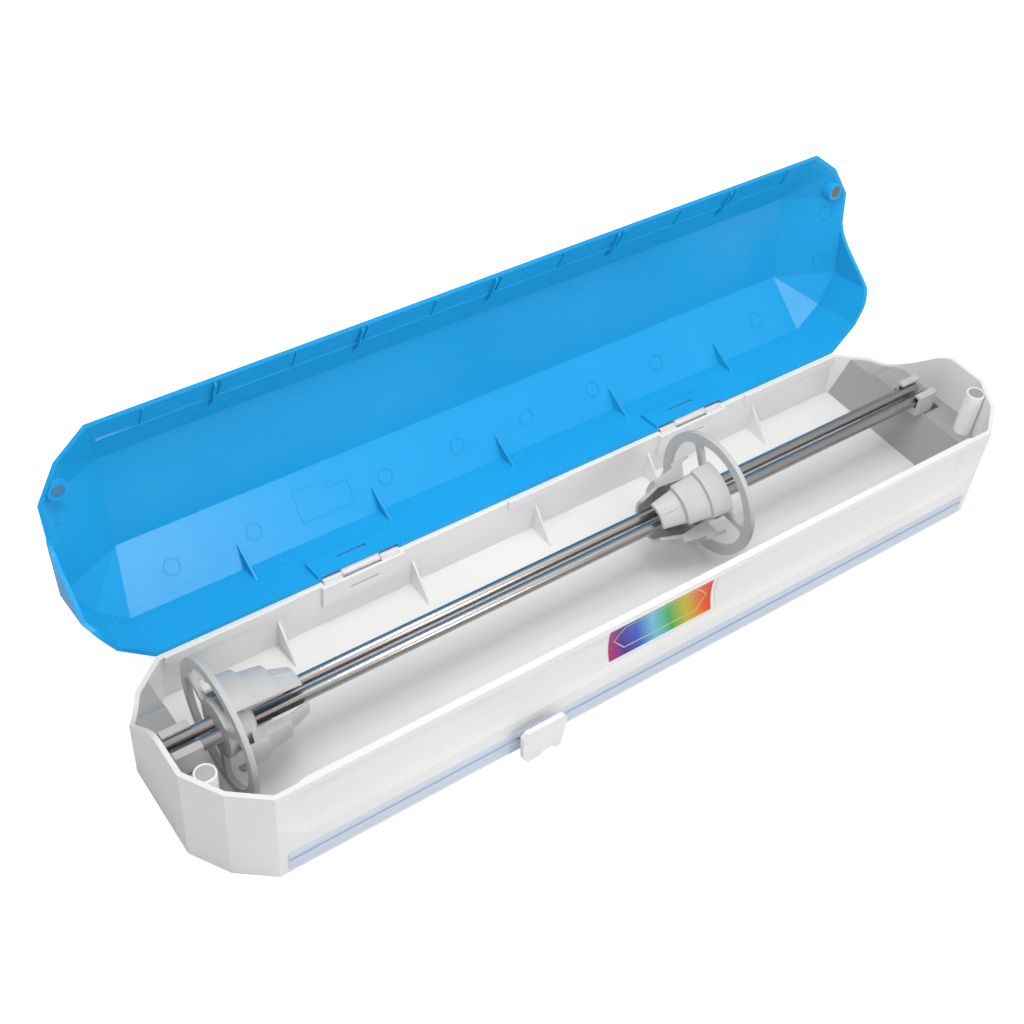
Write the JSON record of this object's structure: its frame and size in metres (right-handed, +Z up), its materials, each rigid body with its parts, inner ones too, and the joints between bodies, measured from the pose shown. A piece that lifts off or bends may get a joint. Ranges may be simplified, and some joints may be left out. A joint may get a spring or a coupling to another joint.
{
  "type": "cling film dispenser",
  "caption": "Long faceted box with a hinged lid, a pair of rods carrying sliding stepped roll holders, magnetic catches and a slide cutter in a rail on the front foot.",
  "frame": {"origin": "centre of the flat underside of the base", "axes": "+X along the box to the right seen from the front, +Y towards the hinge side, +Z up; the front wall with the cutter rail faces -Y"},
  "size_m": [0.54, 0.2055, 0.1538],
  "materials": {
    "base_white": "satin moulded",
    "lid_blue": "satin moulded",
    "holder_grey": "moulded",
    "core_grey": "moulded",
    "rod_steel": "drawn stainless",
    "magnet_nickel": "nickel plated",
    "rail_clear": "clear extruded",
    "label_foil": "printed rainbow foil",
    "hinge_white": "moulded",
    "pin_steel": "plain",
    "knob_white": "moulded",
    "blade_steel": "ground edge"
  },
  "bodies": {
    "base": {"base_shell": "base_white", "left_cradle": "holder_grey", "right_cradle": "holder_grey", "left_rod_clip": "holder_grey", "right_rod_clip": "holder_grey", "rear_rod": "rod_steel", "front_rod": "rod_steel", "left_base_magnet": "magnet_nickel", "right_base_magnet": "magnet_nickel", "cutter_rail": "rail_clear", "front_label": "label_foil", "left_hinge_base_leaf": "hinge_white", "right_hinge_base_leaf": "hinge_white", "left_hinge_pin": "pin_steel", "right_hinge_pin": "pin_steel"},
    "lid": {"lid_shell": "lid_blue", "left_lid_magnet": "magnet_nickel", "right_lid_magnet": "magnet_nickel", "left_hinge_lid_leaf": "hinge_white", "right_hinge_lid_leaf": "hinge_white"},
    "left_slider": {"left_slider_core": "core_grey", "left_core_ring": "core_grey"},
    "left_cone": {"left_roll_cone": "holder_grey"},
    "right_slider": {"right_slider_core": "core_grey", "right_core_ring": "core_grey"},
    "right_cone": {"right_roll_cone": "holder_grey"},
    "cutter": {"cutter_knob": "knob_white", "cutter_shoe": "knob_white", "cutter_blade": "blade_steel"}
  },
  "joints": [
    {"name": "lid_hinge", "type": "hinge", "parent": "base", "child": "lid", "pos_m": [0, 0.0636, 0.034], "axis": [-1, 0, 0], "range_deg": [-99.2, 0]},
    {"name": "left_holder_slide", "type": "slide", "parent": "base", "child": "left_slider", "axis": [1, 0, 0], "range_m": [0, 0.17]},
    {"name": "left_cone_spin", "type": "hinge", "parent": "left_slider", "child": "left_cone", "pos_m": [-0.237, 0, 0.0446], "axis": [1, 0, 0], "continuous": true},
    {"name": "right_holder_slide", "type": "slide", "parent": "base", "child": "right_slider", "axis": [1, 0, 0], "range_m": [-0.04, 0.159]},
    {"name": "right_cone_spin", "type": "hinge", "parent": "right_slider", "child": "right_cone", "pos_m": [0.0777, 0, 0.0446], "axis": [1, 0, 0], "continuous": true},
    {"name": "cutter_slide", "type": "slide", "parent": "base", "child": "cutter", "axis": [1, 0, 0], "range_m": [-0.131, 0.311]}
  ]
}
